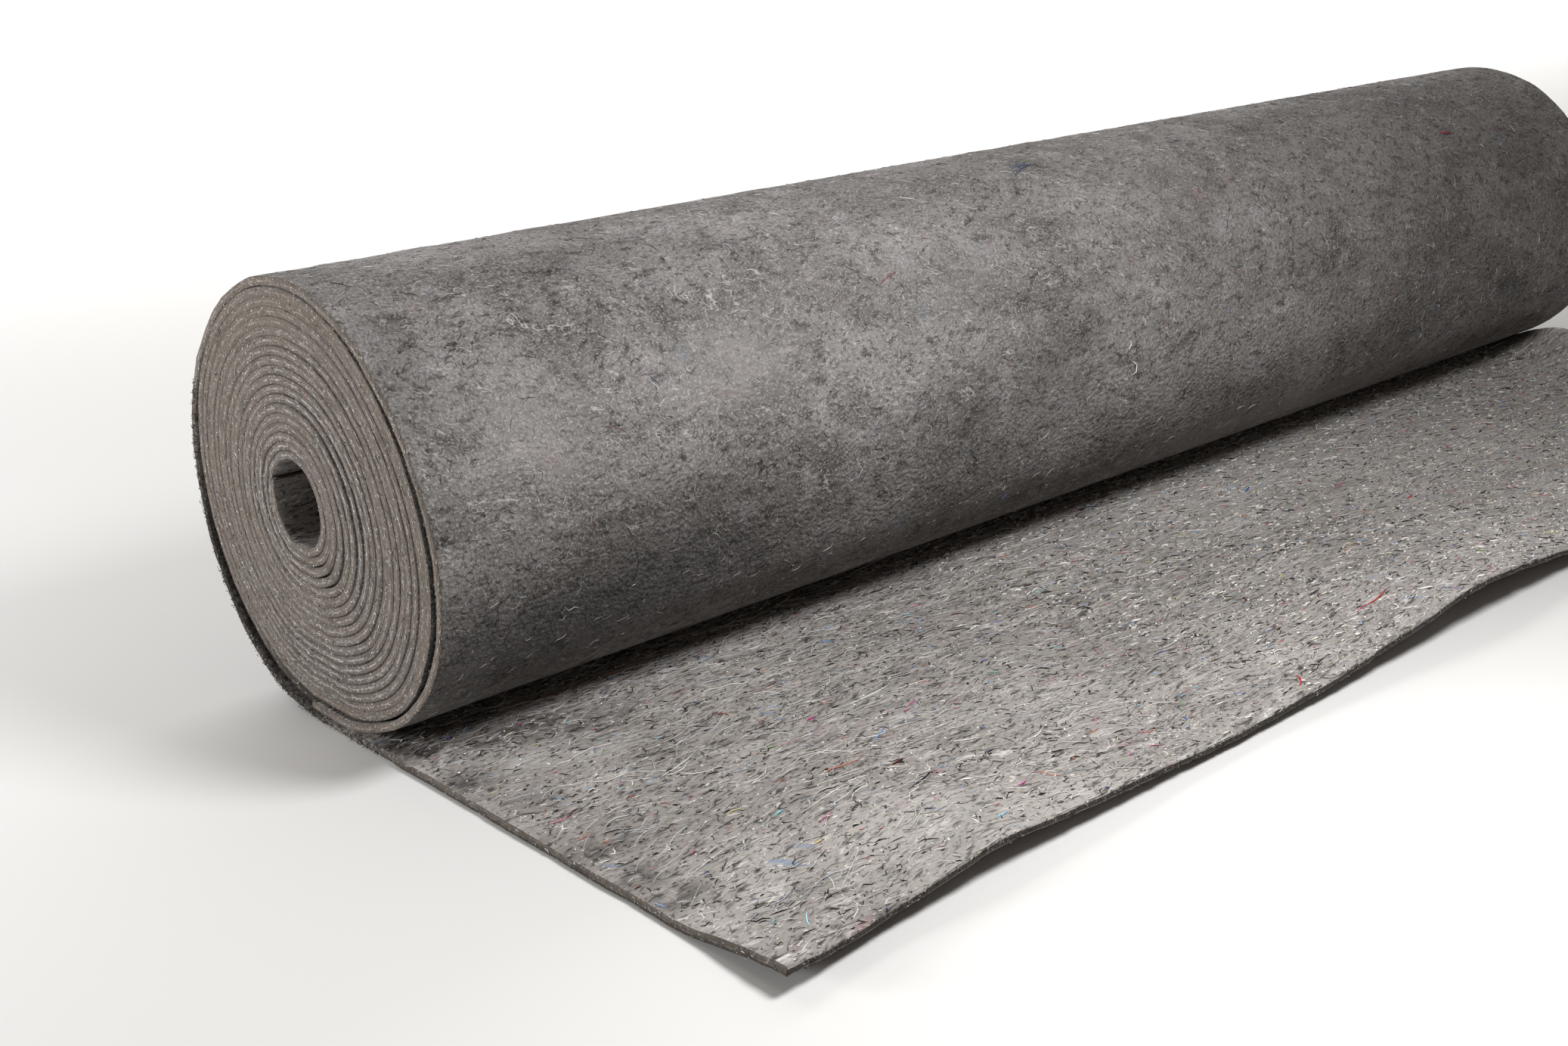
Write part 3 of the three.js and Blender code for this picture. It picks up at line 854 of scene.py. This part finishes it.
def pressed_face_felt():
    """Needle-punched felt of reclaimed fibres, its pressed face, outside on the roll: a close grain of light
    and dark fibre ends, few loose hairs, and smoky blotches where darker cloth was shredded in. Over these
    lie painted light and shade from the piece's attributes."""
    material, shader = new_material("needled_felt_pressed_face")
    tree = material.node_tree
    place, drifted = mat_place(tree)
    colour = layered(
        tree, to_linear("#615e5c"),
        ("#7e7b7a", cloud(tree, drifted, 75, 0.36, 0.66, 3, (1.5, 1, 1)), 1),
        ("#393634", cloud(tree, drifted, 34, 0.5, 0.8, 5, (1.3, 1, 1)), 0.8),
        ("#938e8e", cloud(tree, drifted, 15, 0.5, 0.8, 5, (1.3, 1, 1)), 0.7),
        ("#2e2b29", cloud(tree, drifted, 6, 0.5, 0.8, 3, (1.7, 1, 1)), 0.9),
        ("#282322", cloud(tree, drifted, 2.4, 0.5, 0.72, 2, (1.6, 1, 1)), 0.6),
        ("#a7a3a2", cloud(tree, place, 2.1, 0.52, 0.8, 3, (1.6, 1, 1), 0.5), 0.5),
        ("#1f1c1c", hairs(tree, drifted, 5, 2.2, 0.024, 0.5, 0.5), 0.85),
        ("#ada9a8", hairs(tree, drifted, 5, 2.2, 0.02, -0.4, 0.52), 0.8),
        ("#6d575c", cloud(tree, drifted, 24, 0.66, 0.8, 2), 0.6),
        ("#58616d", cloud(tree, place, 27, 0.67, 0.8, 2, turn=1.1), 0.6),
        ("#a9a6a4", cloud(tree, place, 1.2, 0.54, 0.7, 1), 0.48),
        ("#2b2927", cloud(tree, drifted, 1.4, 0.55, 0.7, 1), 0.42),
    )
    # The tone attribute lays painted shade low on the roll's front and painted light low on it far along,
    # among lighter and darker clouds
    colour = with_tone_and_painted_light(tree, colour, "#989493", "#181615")
    # Painted shade in the gaps between the turns, in the hole and in the recess at the near end
    colour = with_painted_shade(tree, colour, "#171514")
    relief = cloud(tree, place, 2.4, 0.25, 0.75, 3.0)
    felt_shader(tree, shader, colour, relief, 0.7, 1.1)
    return material


def fibrous_face_felt():
    """Needle-punched felt of reclaimed fibres, its fibrous face, which is up on the floor: lighter, with
    many short light and dark fibres combed along the mat's width and flecks of dyed thread."""
    material, shader = new_material("needled_felt_fibrous_face")
    tree = material.node_tree
    place, drifted = mat_place(tree)
    colour = layered(
        tree, to_linear("#8b8682"),
        ("#9c9793", cloud(tree, drifted, 60, 0.38, 0.66, 3, (1.8, 1, 1)), 1),
        ("#5e5854", cloud(tree, drifted, 12, 0.5, 0.78, 4, (2.8, 1, 1)), 0.6),
        ("#bbb6b3", cloud(tree, drifted, 5, 0.52, 0.78, 3, (4, 1, 1), 0.12), 0.7),
        ("#37322f", cloud(tree, drifted, 3, 0.54, 0.72, 2, (3.2, 1, 1), -0.1), 0.9),
        ("#332f2c", cloud(tree, place, 2, 0.54, 0.72, 1, (1.4, 1, 1)), 0.7),
        ("#cac7c5", hairs(tree, drifted, 4.2, 5, 0.02, 0.18, 0.5), 0.9),
        ("#221e1d", hairs(tree, drifted, 4.6, 4, 0.02, -0.2, 0.53), 0.9),
        ("#cbcac7", cloud(tree, place, 2, 0.66, 0.76, 1), 0.7),
        ("#8b6e70", cloud(tree, drifted, 9, 0.68, 0.8, 1, (3, 1, 1)), 0.6),
        ("#6f829b", cloud(tree, drifted, 8, 0.69, 0.8, 1, (3, 1, 1), 0.9), 0.6),
    )
    broken = cloud(tree, drifted, 8, 0.32, 0.56, 4.0, (1.6, 1, 1))
    # The tone attribute lays painted light over the far part of the mat, among lighter and darker clouds
    colour = with_tone_and_painted_light(tree, colour, "#c6c3c0", "#211e1d", broken)
    # Painted shade on the outermost turn's inner face in its gap, on the hole's wall and in the recess at
    # the near end
    colour = with_painted_shade(tree, colour, "#191816")
    relief = cloud(tree, drifted, 2.6, 0.25, 0.75, 3.0, (3.0, 1, 1))
    felt_shader(tree, shader, colour, relief, 0.8, 1.4)
    return material


def cut_edge_felt(name, plain, crest, dark, rubbed):
    """Felt cut with a knife: broken light crests of loosened fibres at mid thickness, painted shade along
    the sides of each turn where two turns meet and stand apart, and rubbed to one browner face where the
    turns are pressed together."""
    material, shader = new_material(name)
    tree = material.node_tree
    place = add(tree, "Attribute", {}, "Vector", attribute_name="cloth")
    pressed = add(tree, "Attribute", {}, "Fac", attribute_name="pressed")
    apart = add(tree, "Math", {0: 1.0, 1: pressed}, operation="SUBTRACT")
    along = (1, 4, 1)
    through = add(tree, "SeparateXYZ", {0: place}, 2)
    off = add(tree, "Math", {0: through, 1: MAT_THICKNESS / 2 * MM}, operation="SUBTRACT")
    aside = add(tree, "Math", {0: off}, operation="ABSOLUTE")
    ridge = add(tree, "MapRange", {
        "Value": aside, "From Min": 0.1 * MM, "From Max": 0.5 * MM, "To Min": 1.0, "To Max": 0.0,
    }, interpolation_type="SMOOTHSTEP")
    outside = {"Value": aside, "From Min": 1.35 * MM, "From Max": 1.95 * MM}
    side = add(tree, "MapRange", outside, interpolation_type="SMOOTHSTEP")
    broken = cloud(tree, place, 2.0, 0.42, 0.62, 2.0, along)
    worn = add(tree, "MapRange", {"Value": apart, "To Min": 0.25})
    crests = add(tree, "Math", {0: ridge, 1: worn}, operation="MULTIPLY")
    lit = add(tree, "Math", {0: crests, 1: broken}, operation="MULTIPLY")
    # Painted shade: the sides of each cut turn, near its two faces, darkened where the turns stand apart, as
    # shade in the gaps between them
    gap_shade = add(tree, "Math", {0: side, 1: apart}, operation="MULTIPLY")
    patches = cloud(tree, place, 16, 0.3, 0.7, 3.0, along)
    smeared = add(tree, "Math", {0: pressed, 1: patches}, operation="MULTIPLY")
    colour = layered(
        tree, to_linear(plain),
        (rubbed, smeared, 0.9),
        (crest, lit, 0.85),
        # painted shade in the gaps between the turns
        (dark, gap_shade, 0.85),
        (dark, cloud(tree, place, 6, 0.5, 0.75, 3, along), 0.4),
        ("#a6a29d", cloud(tree, place, 1.3, 0.62, 0.72, 1, (1, 1.6, 1)), 0.7),
        ("#1e1c1b", cloud(tree, place, 1.7, 0.62, 0.74, 1), 0.5),
    )
    # Painted shade on the cut edges in the recess at the near end, at the start of the wound turns and low
    # on the near cut edge on the floor
    colour = with_painted_shade(tree, colour, "#1b1817")
    relief = cloud(tree, place, 1.4, 0.25, 0.75, 2.0, (1, 1.6, 1))
    felt_shader(tree, shader, colour, relief, 0.7, 0.8)
    return material


def loose_dyed_fibres():
    """Spun and torn threads of reclaimed cloth, cotton and wool: matt, each with the dye it had."""
    material, shader = new_material("loose_dyed_fibres")
    dye = add(material.node_tree, "Attribute", {}, "Color", attribute_name="dye")
    material.node_tree.links.new(dye, shader.inputs["Base Color"])
    shader.inputs["Roughness"].default_value = 0.85
    shader.inputs["Specular IOR Level"].default_value = 0.2


def studio():
    """A pale floor, a frosted lamp over the mat in front of the roll, another at the left of the view for
    the near end, and a large soft box over the floor behind."""
    reach = 8.0
    corners = [(x * reach, y * reach, FLOOR) for x, y in ((-1, -1), (1, -1), (1, 1), (-1, 1))]
    mesh = bpy.data.meshes.new("floor")
    mesh.from_pydata(corners, [], [(0, 1, 2, 3)])
    floor = new_object("floor", mesh)
    material, shader = new_material("matt_white_floor")
    shader.inputs["Base Color"].default_value = to_linear("#cbcbca")
    shader.inputs["Roughness"].default_value = 0.9
    mesh.materials.append(material)
    world = bpy.data.worlds.new("studio")
    world.use_nodes = True
    background = world.node_tree.nodes["Background"].inputs
    background["Color"].default_value = to_linear("#fff1e4")
    background["Strength"].default_value = 0.2
    bpy.context.scene.world = world
    lamp("key", "POINT", (-0.26, -0.44, 0.54), 17.5, shadow_soft_size=0.10)
    lamp("near_end_fill", "POINT", (-1.40, 0.40, 0.30), 44, shadow_soft_size=0.15)
    lamp("floor_behind", "AREA", (1.9, 3.7, 1.4), 330, shape="SQUARE", size=5.6)
    bpy.context.scene.view_settings.view_transform = "Standard"


def lamp(name, kind, place, power, **settings):
    """A lamp at a place in metres, with a power in watts and other settings. An area lamp points down."""
    data = bpy.data.lights.new(name, kind)
    data.energy = power
    for key, value in settings.items():
        setattr(data, key, value)
    new_object(name, data).location = place


def main():
    photo_camera()
    pressed, fibrous = pressed_face_felt(), fibrous_face_felt()
    side_cut = cut_edge_felt("needled_felt_cut_side", "#665f5a", "#b9afa9", "#2b2622", "#665e55")
    front_cut = cut_edge_felt("needled_felt_cut_front", "#3f3a36", "#4e4843", "#2a2623", "#3f3a36")
    loose_end_sheet([pressed, fibrous, side_cut, front_cut])
    wound_turns([pressed, fibrous, side_cut])
    loose_dyed_fibres()
    draw = np.random.default_rng(SEED)
    threads_on_mat(draw)
    threads_on_roll(draw)
    threads_on_near_end(draw)
    threads_on_edges(draw)
    studio()


main()
